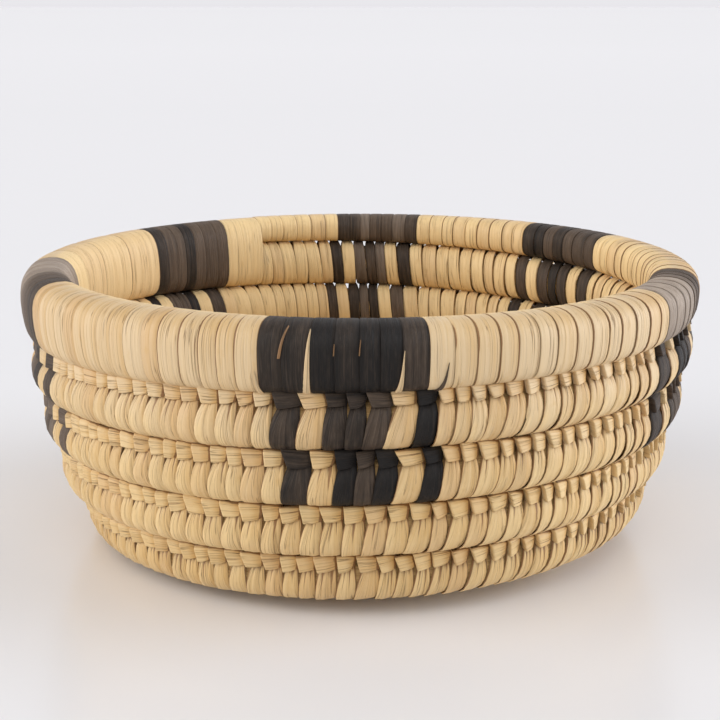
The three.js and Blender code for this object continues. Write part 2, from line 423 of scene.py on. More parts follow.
@dataclass(frozen=True)
class GrassStems:
    """Dry grass stems, laid side by side along the coil."""

    pale: Colour = (0.74, 0.47, 0.19)
    shade: Colour = (0.42, 0.23, 0.08)
    stems: Grain = Grain(1.1, 0.012, 4.0, 3.0, 0.65)
    knots: Grain = Grain(0.5, 0.3, 9.0)
    pale_weights: tuple[float, ...] = (0.8, 0.3)
    pale_range: Range = (0.34, 0.72)
    roughness: float = 0.8
    stem_depth: float = 0.0008
    gloss: float = 0.5

    def material(self) -> bpy.types.Material:
        """Makes the finish.

        Returns:
            The material.
        """
        shader = Shader(bpy.data.materials.new("grass_stems"))
        stems, knots = shader.grains(1.0, self.stems, self.knots)
        paleness = shader.ramp(shader.total(self.pale_weights, stems, knots), *self.pale_range)
        colour = shader.blend(paleness, self.shade, self.pale)
        shader.finish(colour, self.roughness, stems, self.stem_depth, self.gloss)
        return shader.owner


class Leaf(Enum):
    """The two kinds of leaf strip."""

    NATURAL = "natural"
    DARK = "dark"


@dataclass
class Finishes:
    """The basket's materials."""

    leaf: dict[Leaf, bpy.types.Material] = field(
        default_factory=lambda: {Leaf.NATURAL: NaturalLeaf().material(), Leaf.DARK: DarkLeaf().material()}
    )
    grass: bpy.types.Material = field(default_factory=lambda: GrassStems().material())


LEAF_SLOT = {Leaf.NATURAL: "natural_leaf", Leaf.DARK: "dark_leaf"}
GRASS_SLOT = "grass_bundle"


# The coil's path


@dataclass(frozen=True)
class Section:
    """The coil cut by a half plane through the axis: its middle, its slope and its half sizes."""

    radius: float
    height: float
    slope: float
    half_along: float
    half_across: float
    squareness: float = 1.0

    def towards(self, other: Section, share: float) -> Section:
        """A section a share of the way to another."""
        return Section(
            mix(self.radius, other.radius, share),
            mix(self.height, other.height, share),
            mix(self.slope, other.slope, share),
            mix(self.half_along, other.half_along, share),
            mix(self.half_across, other.half_across, share),
            mix(self.squareness, other.squareness, share),
        )

    def point(self, angle: float, around: float, lift: float) -> Vector:
        """A point on or over the section's outline.

        Args:
            angle: Round the basket's axis.
            around: Round the coil, 0 on its outer face and a quarter turn on its upper side.
            lift: How far over the outline.

        Returns:
            The point.
        """
        across = (self.half_across + lift) * self.squared(math.cos(around))
        along = (self.half_along + lift) * self.squared(math.sin(around))
        return self.place(angle, across, along)

    def slope_from(self, other: Section) -> float:
        """The slope of the line from another section's middle to this one's."""
        return math.atan2(self.height - other.height, self.radius - other.radius)

    def squared(self, value: float) -> float:
        """A sine or cosine that makes the outline squarer where its power is under 1."""
        return math.copysign(abs(value) ** self.squareness, value)

    def place(self, angle: float, outwards: float, upwards: float) -> Vector:
        """A point at distances from the section's middle, square to the wall and along it."""
        radius = self.radius + outwards * math.sin(self.slope) + upwards * math.cos(self.slope)
        height = self.height - outwards * math.cos(self.slope) + upwards * math.sin(self.slope)
        return Vector((radius * math.cos(angle), radius * math.sin(angle), height))


@dataclass(frozen=True)
class CoilPath:
    """The coil from the middle of the base to its tail on the rim."""

    coil_radius: float = 0.00835
    turn_gap: float = 0.0011
    start_half: float = 0.0025
    start_radius: float = 0.0034
    floor_radius: float = 0.083
    bend_radius: float = 0.008
    foot_lean: float = math.radians(24)
    wall_curve_radius: float = 0.185
    wall_turns: int = 5
    climb_swing: float = 0.0009
    rim_width: float = 0.017
    rim_squareness: float = 0.68
    tail_height: float = 0.0088
    tail_angle: float = math.radians(114)
    samples: int = 240

    @property
    def pitch(self) -> float:
        """From one turn's middle to the next."""
        return 2 * self.coil_radius + self.turn_gap

    @property
    @lru_cache
    def base_turns(self) -> float:
        """Turns from the coil's start to the edge of the flat base."""
        most = 1 + self.floor_radius / self.pitch
        return first_past(0.0, most, lambda turn: self.even_length(turn) >= self.floor_radius)

    @property
    def rim_turn(self) -> float:
        """Where the rim starts."""
        return self.tail_turn - 1

    @property
    def tail_turn(self) -> float:
        """Where the coil ends."""
        return self.base_turns + self.wall_turns

    @property
    @lru_cache
    def rim_level(self) -> float:
        """The height of the rim's crest."""
        below = self.section(self.rim_turn)
        return below.height + self.coil_radius + self.turn_gap + self.tail_height

    def half(self, turn: float) -> float:
        """Half the coil's thickness, which grows in its first turn."""
        return mix(self.start_half, self.coil_radius, min(turn, 1.0))

    def reach(self, turn: float) -> float:
        """From the coil's middle a turn earlier to its middle now."""
        return self.half(turn - 1) + self.half(turn) + self.turn_gap

    def even_length(self, turn: float) -> float:
        """The length along the bowl's section on an even, flat spiral."""
        if turn < 1:
            return self.start_radius + self.reach(1) * turn
        return self.even_length(turn - 1) + self.reach(turn)

    def angle(self, turn: float) -> float:
        """The angle round the axis at a turn."""
        return self.tail_angle - FULL_TURN * (self.tail_turn - turn)

    def bowl(self, length: float) -> tuple[float, float, float]:
        """The bowl's radius, height and slope after a length along its section."""
        bend_length = self.bend_radius * (math.pi / 2 - self.foot_lean)
        bent = min(max(length - self.floor_radius, 0.0), bend_length) / self.bend_radius
        climbed = max(length - self.floor_radius - bend_length, 0.0)
        slope = bent + climbed / self.wall_curve_radius
        radius = min(length, self.floor_radius) + self.bend_radius * math.sin(bent)
        radius += self.wall_curve_radius * (math.sin(slope) - math.sin(bent))
        height = self.coil_radius + self.bend_radius * (1 - math.cos(bent))
        height += self.wall_curve_radius * (math.cos(bent) - math.cos(slope))
        return radius, height, slope

    @lru_cache(maxsize=None)
    def length(self, sample: int) -> float:
        """The length along the bowl's section at a sample of the coil: each turn lies against the last."""
        turn = sample / self.samples
        if turn < 1:
            return self.even_length(turn) - self.climb_swing * math.cos(self.angle(turn))
        last = self.length(sample - self.samples)
        reach = self.reach(turn)
        middle = self.bowl(last)[:2]
        return first_past(
            last, last + 2 * reach, lambda length: math.dist(self.bowl(length)[:2], middle) >= reach
        )

    @lru_cache(maxsize=None)
    def sampled(self, sample: int) -> Section:
        """The section at a sample of the coil."""
        half = self.half(sample / self.samples)
        return Section(*self.bowl(self.length(sample)), half, half)

    def section(self, turn: float) -> Section:
        """The section at a turn."""
        place = max(turn, 0.0) * self.samples
        first = math.floor(place)
        return self.sampled(first).towards(self.sampled(first + 1), place - first)

    def next_section(self, turn: float) -> Section:
        """The section one turn further on, which may be the rim's."""
        return self.rim(turn + 1) if turn + 1 > self.rim_turn else self.section(turn + 1)

    def rim(self, turn: float) -> Section:
        """The rim's section, which stands on the turn below and reaches up to one level."""
        below = self.section(turn - 1)
        slope = (below.slope + math.pi / 2) / 2
        clear = self.coil_radius + self.turn_gap
        room = (self.rim_level - below.height) / math.sin(slope) - clear
        rise = clear + room / 2
        radius = below.radius + rise * math.cos(slope)
        height = below.height + rise * math.sin(slope)
        width = min(self.rim_width, (self.rim_width + room) / 2)
        return Section(radius, height, slope, room / 2, width / 2, self.rim_squareness)


# Where the stitches go


@dataclass(frozen=True)
class Stitch:
    """One strip, looped once round the coil."""

    turn: float
    width: float
    leaf: Leaf
    tone: float
    seed: int


@dataclass(frozen=True)
class DarkBlock:
    """A block of the pattern, by its middle and width in degrees round the basket, and how brown its dye is.

    The rim has a tone of its own, and where its wraps differ, each of them has one. The trim is how much
    later than the stripes below it a block starts on the rim, and how much earlier it ends.
    """

    middle: float
    width: float
    tone: float
    rim_tone: float
    wrap_tones: tuple[float, ...] = ()
    trim: Range = (0.0, 0.0)


@dataclass
class SewingPlan:
    """Shares each turn of the coil out among its stitches."""

    path: CoilPath
    spacing: float = 0.0053
    unevenness: float = 0.16
    listed_unevenness: float = 0.16 / 3
    # Rim and wrap tones above about 1.1 turn the dark leaf grey: partly dye, partly painted sheen, fading
    # along the blocks at 195 and 336.5 degrees.
    blocks: tuple[DarkBlock, ...] = (
        DarkBlock(38.5, 22, 0.55, 0.5),
        DarkBlock(85.7, 18.5, 0.75, 0.75),
        DarkBlock(132.5, 20, 0.5, 0.55),
        DarkBlock(195, 27, 0.75, 1.5, (1.5, 1.62, 1.6, 1.4, 1.05, 0.7, 0.45), (-1.0, 1.9)),
        DarkBlock(267.5, 24, 0.2, 0.3, (0.28, 0.24, 0.0, 0.14, 0.08, 0.0, 0.36)),
        DarkBlock(336.5, 27, 0.5, 1.3, (1.75, 2.0, 2.1, 1.75, 1.15, 0.75, 0.5), (1.8, 3.0)),
    )
    stripes: tuple[Leaf, ...] = (
        Leaf.DARK, Leaf.NATURAL, Leaf.DARK, Leaf.DARK, Leaf.DARK, Leaf.NATURAL, Leaf.DARK,
    )
    stripe_widths: tuple[float, ...] = (1.2, 1.15, 0.92, 0.88, 1.0, 1.08, 0.93)
    wrap_widths: tuple[float, ...] = (1.02, 1.19, 0.98, 1.0, 0.88, 0.88, 1.04)
    dark_reach: float = 0.45
    natural_reach: float = 0.5
    rng: random.Random = field(default_factory=lambda: random.Random(41))

    def run(
        self,
        start: float,
        end: float,
        leaves: tuple[Leaf, ...],
        widths: tuple[float, ...] = (),
        tone: float = MIDDLE_TONE,
        tones: tuple[float, ...] = (),
    ) -> list[Stitch]:
        """Shares a run out among stitches of the given leaves, one each.

        Args:
            start: The turn at which the run starts.
            end: The turn at which it ends.
            leaves: The leaf of each stitch.
            widths: How wide each is beside the others, or nothing where they are about alike.
            tone: The tone that those of dark strips lie round.
            tones: The tone of each, where they are given.

        Returns:
            The stitches in order.
        """
        uneven = self.listed_unevenness if widths else self.unevenness
        widths = widths or (1.0,) * len(leaves)
        shares = [width * (1 + uneven * self.rng.uniform(-1, 1)) for width in widths]
        scale = (end - start) / sum(shares)
        stitches = []
        for number, (leaf, share) in enumerate(zip(leaves, shares)):
            width = share * scale
            near = tone if leaf is Leaf.DARK else MIDDLE_TONE
            reach = self.dark_reach if leaf is Leaf.DARK else self.natural_reach
            shade = max(near + reach * self.rng.uniform(-1, 1), 0.0)
            if tones:
                shade = tones[number]
            stitches.append(Stitch(start + width / 2, width, leaf, shade, self.rng.randrange(SEEDS)))
            start += width
        return stitches

    def plain(self, start: float, end: float, spacing: float | None = None) -> list[Stitch]:
        """Natural stitches all along a run."""
        middle = self.path.section((start + end) / 2)
        length = FULL_TURN * middle.radius * (end - start)
        count = max(1, round(length / (spacing or self.spacing)))
        return self.run(start, end, (Leaf.NATURAL,) * count)

    def patterned(
        self, start: float, drift: float, on_rim: bool = False, wide: tuple[float, ...] = ()
    ) -> list[Stitch]:
        """One turn with the dark blocks, and natural stitches between them.

        Args:
            start: The turn at which it starts.
            drift: How far the blocks stand on from their middles, in degrees.
            on_rim: Whether its blocks are dark all over, as the rim's are, or striped.
            wide: The spacing in the first runs between blocks, where it isn't the usual one.

        Returns:
            The stitches in order.
        """
        start_angle = math.degrees(self.path.angle(start))
        spans = []
        for block in self.blocks:
            late, early = block.trim if on_rim else (0.0, 0.0)
            offset = (block.middle + drift - block.width / 2 + late - start_angle) % 360
            width = block.width - late - early
            spans.append((start + offset / 360, start + (offset + width) / 360, block))
        spans.sort(key=lambda span: span[0])
        stitches = []
        done = start
        for number, (first, last, block) in enumerate(spans):
            stitches += self.plain(done, first, wide[number] if number < len(wide) else None)
            if on_rim:
                dark = (Leaf.DARK,) * len(self.wrap_widths)
                stitches += self.run(first, last, dark, self.wrap_widths, block.rim_tone, block.wrap_tones)
            else:
                stitches += self.run(first, last, self.stripes, self.stripe_widths, block.tone)
            done = last
        return stitches + self.plain(done, start + 1)


# How a strip lies


@dataclass(frozen=True)
class Column:
    """A place across a strip, from -1 at its left edge to 1 at its right: its lift and its painted crease
    shade.
    """

    place: float
    lift: float
    crease_shade: float


@dataclass(frozen=True)
class Lie:
    """How one strip lies: what differs from strip to strip."""

    lay: float
    crown: float
    slant: float
    wide: float
    pinch: float
    slit: float


@dataclass(frozen=True)
class StripForm:
    """A strip's lie round the coil, with widths as shares of its place, in degrees and metres.

    The rows are the angles round the coil at which the strip is shaped, from 0 on the outer face by way of
    the upper side. A rise is the sine of such an angle, and a range of rises is where a change starts and
    where it is full. A spread is what a strip's own value lies between, as shares of the usual one.
    """

    face: float = 1.08
    inner: float = 1.03
    neck: float = 0.70
    foot: float = 0.97
    neck_from: float = 0.62
    foot_from: float = 0.85
    inner_from: float = 0.85
    pinches: Range = (-0.1, 0.15)
    loose: float = 0.05
    outer_face: Range = (-0.35, 0.35)
    bed: float = 0.0001
    swell: float = 0.0007
    swell_rises: Range = (0.8, 1.0)
    inner_swell: float = 0.0017
    inner_swell_rises: Range = (0.5, 0.9)
    crown: float = 0.00025
    crown_spread: Range = (0.6, 1.4)
    held_crown: float = 0.4
    held_rises: Range = (0.65, 1.0)
    edge_drop: float = 0.0003
    edge_ends: Range = (-0.93, -0.78)
    lay: float = 0.00034
    lay_spread: Range = (0.4, 1.5)
    slant: float = 0.16
    slant_spread: Range = (0.6, 1.4)
    # The slit is shifted and sunk, and also painted dark as painted shade in its groove.
    slit: float = 0.12
    slit_spread: Range = (0.2, 1.6)
    slit_rises: Range = (0.35, 0.8)
    slit_side: float = -0.9
    slit_depth: float = 0.0006
    slit_opens: Range = (0.2, 0.55)
    slit_closes: Range = (0.95, 0.75)
    folds: tuple[int, ...] = (0, 1, 2, 2)
    fold_sides: Range = (-0.55, 0.75)
    fold_play: Range = (0.2, 0.85)
    fold_edges: Range = (-0.03, 0.05)
    fold: float = 0.0004
    fold_spread: Range = (0.3, 1.2)
    # Painted shade along the low side of each fold, weaker where the fan lies flat.
    fold_shades: Range = (0.6, 1.05)
    unfolded: float = 0.1
    fan: float = 0.5
    fan_rises: Range = (-0.2, 0.85)
    flat_fold: float = 0.45
    flat_crease_shade: float = 0.7
    # Painted shadow on the strip's upper part, just under the knot's lower edge.
    shade: float = 0.95
    shade_rises: Range = (0.55, 0.87)
    # Painted shade towards each strip's right edge, under the next strip, and painted light on its left edge.
    edge_shade: float = 1.8
    edge_shade_sides: Range = (-0.6, 1.0)
    edge_shade_level: float = 0.35
    # Painted shadow at each strip's right edge, where the next strip's proud left edge shades it, darker
    # where the seam stands open, and a thinner line along the left edge.
    seam_shadow_odds: float = 0.85
    open_seam_shadows: Range = (1.1, 1.5)
    shut_seam_shadows: Range = (0.5, 0.9)
    seam_shadow_from: float = 0.82
    left_seam_shadow: float = 0.85
    left_seam_shadow_end: float = 0.8
    rows: tuple[float, ...] = (90, 125, 160, 200, 235, 270, 300, 328, 357, 388, 420, 450)

    def columns(self, rng: random.Random) -> tuple[Column, ...]:
        """Cuts across one strip.

        Args:
            rng: Where its folds are taken from.

        Returns:
            Its edges and the two sides of each fold, from left to right.
        """
        # Painted shadow at the right edge, and a share of it at the left edge.
        seam_shadow = rng.uniform(*self.open_seam_shadows) if rng.random() < self.seam_shadow_odds else rng.uniform(*self.shut_seam_shadows)
        left_seam_shadow = seam_shadow * self.left_seam_shadow
        edge, inside = self.edge_ends
        columns = [
            Column(-1.0, -self.edge_drop, left_seam_shadow),
            Column(edge, 0.0, left_seam_shadow * self.left_seam_shadow_end),
            Column(inside, 0.0, 0.0),
        ]
        folds = rng.choice(self.folds)
        for number in range(folds):
            middle = mix(*self.fold_sides, (number + rng.uniform(*self.fold_play)) / folds)
            left, right = self.fold_edges
            depth = self.fold * rng.uniform(*self.fold_spread)
            columns.append(Column(middle + left, -depth, rng.uniform(*self.fold_shades)))
            columns.append(Column(middle + right, depth, 0.0))
        if not folds:
            columns.append(Column(self.unfolded, 0.0, 0.0))
        columns += [Column(self.seam_shadow_from, 0.0, 0.0), Column(1.0, -self.edge_drop, seam_shadow)]
        return tuple(columns)

    def lie(self, rng: random.Random) -> Lie:
        """How one strip lies."""
        return Lie(
            lay=self.lay * rng.uniform(*self.lay_spread),
            crown=self.crown * rng.uniform(*self.crown_spread),
            slant=self.slant * rng.uniform(*self.slant_spread),
            wide=1 + self.loose * rng.uniform(-1, 1),
            pinch=rng.uniform(*self.pinches),
            slit=self.slit * rng.uniform(*self.slit_spread),
        )

    def width_share(self, outer: float, rise: float, pinch: float) -> float:
        """How wide a strip is at a place round the coil.

        Args:
            outer: 1 on the outer face and 0 on the inner.
            rise: From -1 at the coil's lower side to 1 at its upper side.
            pinch: How much later than usual it narrows on the outer face.

        Returns:
            The share of its place.
        """
        neck = smooth(mix(self.inner_from, self.neck_from + pinch, outer), 1.0, rise)
        foot = smooth(mix(self.inner_from, self.foot_from + pinch, outer), 1.0, -rise)
        width = mix(self.inner, self.face, outer)
        width = mix(width, self.neck, neck)
        return mix(width, self.foot, foot)

    def lift(self, column: Column, lie: Lie, outer: float, rise: float, gather: float) -> float:
        """How far over the coil a strip lies at a place round it.

        Args:
            column: The place across the strip.
            lie: How the strip lies.
            outer: 1 on the outer face and 0 on the inner.
            rise: From -1 at the coil's lower side to 1 at its upper side.
            gather: How much of its fan is drawn together there.

        Returns:
            The height over the coil.
        """
        side = column.place
        free = 1 - smooth(*self.held_rises, abs(rise))
        kept = 1.0 if abs(side) == 1 else mix(self.flat_fold, 1.0, gather)
        lift = self.bed + lie.crown * (1 - side * side) * mix(self.held_crown, 1.0, free)
        lift += column.lift * kept - lie.lay * side * free + self.swell * smooth(*self.swell_rises, rise)
        return lift + self.inner_swell * (1 - outer) * smooth(*self.inner_swell_rises, abs(rise))

    def opened(self, side: float, outer: float, rise: float) -> float:
        """How far the slit at a strip's left edge stands open."""
        if side >= self.slit_side:
            return 0.0
        return smooth(*self.slit_opens, rise) * smooth(*self.slit_closes, rise) * outer


@dataclass(frozen=True)
class Sliver:
    """A strip end that shows in a gap between two of the rim's wraps.

    Its two ends are given from the lower one: the place in degrees round the basket, the angle in degrees
    round the rim, and the width in metres.
    """

    leaf: Leaf
    tone: float
    place: Range
    around: Range
    width: Range
    thickness: float = 0.0003
    # Painted shade along its edges in the gap; its middle is darker the higher its tone.
    crease_shade: float = 0.75
    edge_crease: float = 0.9
    columns: tuple[float, ...] = (-1.0, -0.7, 0.7, 1.0)
    rows: tuple[float, ...] = (0.0, 0.2, 0.4, 0.6, 0.8, 1.0)


class StripMesh:
    """A mesh that strips are added to, with their place across and along and their tone."""

    def __init__(self) -> None:
        """Starts an empty mesh."""
        self.bm = bmesh.new()
        self.uv = self.bm.loops.layers.uv.new(STRIP_MAP)
        self.tone = self.bm.verts.layers.float.new(TONE)
        # Painted shade in folds, seams, slits and under knots.
        self.crease_shade = self.bm.verts.layers.float.new(CREASE_SHADE)
        # The fan's gathering, with painted shade towards right edges and painted light on left edges and
        # inner faces.
        self.gather = self.bm.verts.layers.float.new(GATHER_AND_SHADE)

    def patch(
        self, columns: tuple[float, ...], rows: tuple[float, ...], size: Range, tone: float
    ) -> list[tuple[bmesh.types.BMVert, int, int]]:
        """Adds a flat patch for a strip to be shaped from.

        Args:
            columns: Places across it, from -1 to 1.
            rows: Places along it, on any scale.
            size: Its real width and length in metres.
            tone: Its tone, from 0 for the darkest.

        Returns:
            Its vertices, each with the number of its column and row.
        """
        across, along = len(columns) - 1, len(rows) - 1
        made = bmesh.ops.create_grid(self.bm, x_segments=across, y_segments=along, size=0.5)["verts"]
        placed = []
        for vert in made:
            column = round((vert.co.x + 0.5) * across)
            row = round((vert.co.y + 0.5) * along)
            reach = (rows[row] - rows[0]) / (rows[-1] - rows[0])
            place = (columns[column] * size[0] / 2 * MILLIMETRES, reach * size[1] * MILLIMETRES)
            vert[self.tone] = tone
            for loop in vert.link_loops:
                loop[self.uv].uv = place
            placed.append((vert, column, row))
        return placed

    def spread(self, vert: bmesh.types.BMVert, share: float) -> None:
        """Draws the fibres at a vertex together, to a share of their usual spread."""
        for loop in vert.link_loops:
            loop[self.uv].uv.x /= share

    def close(self) -> None:
        """Joins each loop's two ends."""
        bmesh.ops.remove_doubles(self.bm, verts=self.bm.verts, dist=WELD)

    def finish(
        self, name: str, material: bpy.types.Material, slot: str, nodes: list[str]
    ) -> bpy.types.Object:
        """Makes the piece.

        Args:
            name: The piece's name.
            material: Its finish.
            slot: Not used.
            nodes: The CAD nodes that it stands for.

        Returns:
            The piece.
        """
        self.close()
        for face in self.bm.faces:
            face.smooth = True
        mesh = bpy.data.meshes.new(name)
        self.bm.to_mesh(mesh)
        self.bm.free()
        mesh.materials.append(material)
        piece = bpy.data.objects.new(name, mesh)
        bpy.context.scene.collection.objects.link(piece)
        rounding = piece.modifiers.new("rounding", "SUBSURF")
        rounding.levels = 1
        rounding.render_levels = 1
        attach(piece, "root")
        if nodes:
            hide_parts(*nodes)
        log.info("%s: %d faces before rounding, stands for %d nodes", name, len(mesh.polygons), len(nodes))
        return piece


@dataclass
class Sewer:
    """Loops strips round the coil."""

    path: CoilPath
    form: StripForm
    on_rim: bool = False

    def section(self, turn: float) -> Section:
        """The section that the strips lie round."""
        return self.path.rim(turn) if self.on_rim else self.path.section(turn)

    def groove_turns(self, turn: float) -> Range:
        """How far round the coil its lower and upper grooves lie from its lower and upper side."""
        if self.on_rim:
            return 0.0, 0.0
        here = self.path.section(turn)
        above = self.path.next_section(turn).slope_from(here)
        below = here.slope_from(self.path.section(turn - 1)) if turn > 1 else here.slope
        return below - here.slope, above - here.slope

    def loop(self, mesh: StripMesh, stitch: Stitch) -> None:
        """Adds one strip, looped round the coil.

        Args:
            mesh: The mesh that it is added to.
            stitch: Its place.
        """
        form = self.form
        rng = random.Random(stitch.seed)
        middle = self.section(stitch.turn)
        width = stitch.width * FULL_TURN * middle.radius
        girth = math.pi * (middle.half_along + middle.half_across)
        columns = form.columns(rng)
        places = tuple(column.place for column in columns)
        lie = form.lie(rng)
        grooves = self.groove_turns(stitch.turn)
        for vert, column, row in mesh.patch(places, form.rows, (width, girth), stitch.tone):
            side = places[column]
            around = math.radians(form.rows[row])
            rise = math.sin(around)
            outer = smooth(*form.outer_face, math.cos(around))
            gather = smooth(*form.fan_rises, rise) * outer
            opened = form.opened(side, outer, rise)
            share = form.width_share(outer, rise, lie.pinch) * lie.wide
            shift = side * share / 2 + lie.slant * rise
            shift += lie.slit * smooth(*form.slit_rises, rise) * outer * (1 - side) / 2
            turn = stitch.turn + shift * stitch.width
            lift = form.lift(columns[column], lie, outer, rise, gather) - form.slit_depth * opened
            # Painted shade towards the right edge and painted light on the left edge; the inner face gets
            # painted light too.
            edge = form.edge_shade * outer * (smooth(*form.edge_shade_sides, side) - form.edge_shade_level)
            vert[mesh.gather] = gather - (1 - outer) + edge
            drawn = 1.0 if abs(side) == 1 else mix(form.flat_crease_shade, 1.0, gather)
            # Painted shadow under the knot, and painted shade in the open slit.
            shade = max(form.shade * smooth(*form.shade_rises, rise) * outer, lie.slit / form.slit * opened)
            vert[mesh.crease_shade] = max(columns[column].crease_shade * drawn, shade)
            mesh.spread(vert, mix(1.0, form.fan, gather))
            around += mix(*grooves, (1 + rise) / 2)
            vert.co = self.section(turn).point(self.path.angle(turn), around, lift)
            vert.co.z = max(vert.co.z, 0.0)

    def sliver(self, mesh: StripMesh, sliver: Sliver) -> None:
        """Adds a strip end that lies in a gap between two strips.

        Args:
            mesh: The mesh that it is added to.
            sliver: Its place.
        """
        first = math.degrees(self.path.angle(self.path.rim_turn))
        length = self.path.coil_radius * math.radians(sliver.around[1] - sliver.around[0])
        size = (sliver.width[0], length)
        for vert, column, row in mesh.patch(sliver.columns, sliver.rows, size, sliver.tone):
            side = sliver.columns[column]
            along = sliver.rows[row]
            turn = self.path.rim_turn + (mix(*sliver.place, along) - first) % 360 / 360
            section = self.section(turn)
            turn += side * mix(*sliver.width, along) / 2 / (FULL_TURN * section.radius)
            at_edge = abs(side) == 1
            lift = self.form.bed + (0.0 if at_edge else sliver.thickness)
            # Painted shade along the edges; the middle is darker the higher the tone.
            vert[mesh.crease_shade] = sliver.edge_crease if at_edge else sliver.crease_shade * sliver.tone
            vert.co = section.point(self.path.angle(turn), math.radians(mix(*sliver.around, along)), lift)


@dataclass(frozen=True)
class Tuck:
    """How deep an edge of a knot is tucked in, and the places between which it goes in."""

    depth: float
    start: float
    end: float

    def at(self, place: float) -> float:
        """How deep it is at a place."""
        return self.depth * smooth(self.start, self.end, place)


@dataclass
class KnotTier:
    """Ties each stitch of a turn, in the outer groove to the turn above.

    A knot is a strap round the strip's neck, cut short below on its right. On the basket's right it tapers
    downwards instead and stands upright, and at the back it is narrower, so that light shows beside it.
    Both come in over a range of places, in metres. A spread is what a knot's own value lies between, as
    shares of the usual one.
    """

    path: CoilPath
    width: float = 1.16
    width_spread: Range = (0.92, 1.06)
    back_width: float = 0.62
    back_places: Range = (0.03, 0.08)
    right_places: Range = (0.005, 0.055)
    half_height: float = 0.00235
    height_spread: Range = (0.85, 1.12)
    left_height: float = 1.05
    right_heights: Range = (0.8, 1.0)
    drop: float = 0.0005
    depths: Range = (0.0062, 0.0068)
    tilts: Range = (-0.12, 0.08)
    leans: Range = (-0.3, -0.05)
    cut: float = 0.5
    cut_spread: Range = (0.6, 1.3)
    right_cut: float = 0.5
    funnel: float = 0.45
    funnel_spread: Range = (0.5, 1.3)
    lay: float = 0.0007
    lay_spread: Range = (0.6, 1.4)
    drawn_from: Range = (-0.4, 1.0)
    # Painted shade: golds each knot towards its right end, which lies under the next knot.
    shading: float = 3.5
    inclination: float = 0.0006
    top_tuck: Tuck = Tuck(0.0010, 0.68, 1.0)
    bottom_tuck: Tuck = Tuck(0.0007, -0.96, -1.0)
    left_tuck: Tuck = Tuck(0.0024, -0.97, -1.0)
    right_tuck: Tuck = Tuck(0.0005, 0.7, 1.0)
    # Painted shadow along the knot's top and bottom edges and in its pleats, weaker where it is loose, and
    # dark at its right end under the next knot.
    top_shadows: Range = (1.4, 0.4)
    bottom_shadows: Range = (0.2, 1.2)
    upper_pleats: Range = (0.0, 0.7)
    lower_pleats: Range = (0.0, 0.8)
    loose_shade_share: float = 0.7
    right_end_shadow: float = 1.1
    right_end_shadow_from: Range = (0.3, 1.0)
    rows: tuple[float, ...] = (-1, -0.97, -0.88, -0.2, 0.5, 0.9, 1)
    columns: tuple[float, ...] = (-1, -0.7, -0.55, 0.2, 0.85, 0.96, 1)

    def tie(self, mesh: StripMesh, stitch: Stitch, slant: float) -> None:
        """Adds one knot: a strap drawn round the strip's neck, its right end tucked in behind the next.

        Args:
            mesh: The mesh that it is added to.
            stitch: The stitch that it ties.
            slant: How far the strip's upper end stands on, as a share of its place.
        """
        rng = random.Random(stitch.seed + 1)
        turn = stitch.turn + slant * stitch.width
        below = self.path.section(turn)
        slope = self.path.next_section(turn).slope_from(below)
        groove = replace(below, slope=slope).place(0.0, 0.0, self.path.pitch / 2)
        seat = Section(groove.x, groove.z, slope, 0.0, 0.0)
        middle = seat.place(self.path.angle(turn), 0.0, 0.0)
        on_right = smooth(*self.right_places, middle.x)
        on_back = smooth(*self.back_places, middle.y)
        width = stitch.width * FULL_TURN * seat.radius * self.width * rng.uniform(*self.width_spread)
        width *= mix(1.0, self.back_width, on_back)
        half_height = self.half_height * rng.uniform(*self.height_spread)
        depth = rng.uniform(*self.depths)
        tilt = rng.uniform(*self.tilts)
        lean = rng.uniform(*self.leans) * (1 - on_right)
        cut = self.cut * rng.uniform(*self.cut_spread) * mix(1.0, self.right_cut, on_right)
        funnel = self.funnel * rng.uniform(*self.funnel_spread) * on_right
        lay = self.lay * rng.uniform(*self.lay_spread)
        heights = (self.left_height, rng.uniform(*self.right_heights))
        upper_pleat = rng.uniform(*self.upper_pleats)
        lower_pleat = rng.uniform(*self.lower_pleats)
        crease_shades = (*self.top_shadows, upper_pleat, 0.0, lower_pleat, *self.bottom_shadows)
        for vert, column, row in mesh.patch(self.columns, self.rows, (2 * half_height, width), stitch.tone):
            up = -self.columns[column]
            side = self.rows[row]
            drawn = smooth(*self.drawn_from, side)
            taper = funnel * (1 - side) / 2 - cut * drawn
            shift = width / 2 * (side + taper * (1 - up) / 2 + lean * up)
            height = up * half_height * mix(*heights, drawn) + tilt * shift - self.drop
            out = depth - lay * side - self.inclination * (1 + up)
            out -= self.left_tuck.at(side) + self.right_tuck.at(side)
            out -= self.bottom_tuck.at(up) + self.top_tuck.at(up)
            # Painted shade towards the right end, and painted shadow along the edges, in the pleats and at
            # the right end.
            vert[mesh.gather] = self.shading * drawn
            crease_shade = crease_shades[column] * mix(self.loose_shade_share, 1.0, drawn)
            vert[mesh.crease_shade] = max(crease_shade, self.right_end_shadow * smooth(*self.right_end_shadow_from, side))
            vert.co = seat.place(self.path.angle(turn) + shift / seat.radius, out, height)


# Sub-assemblies


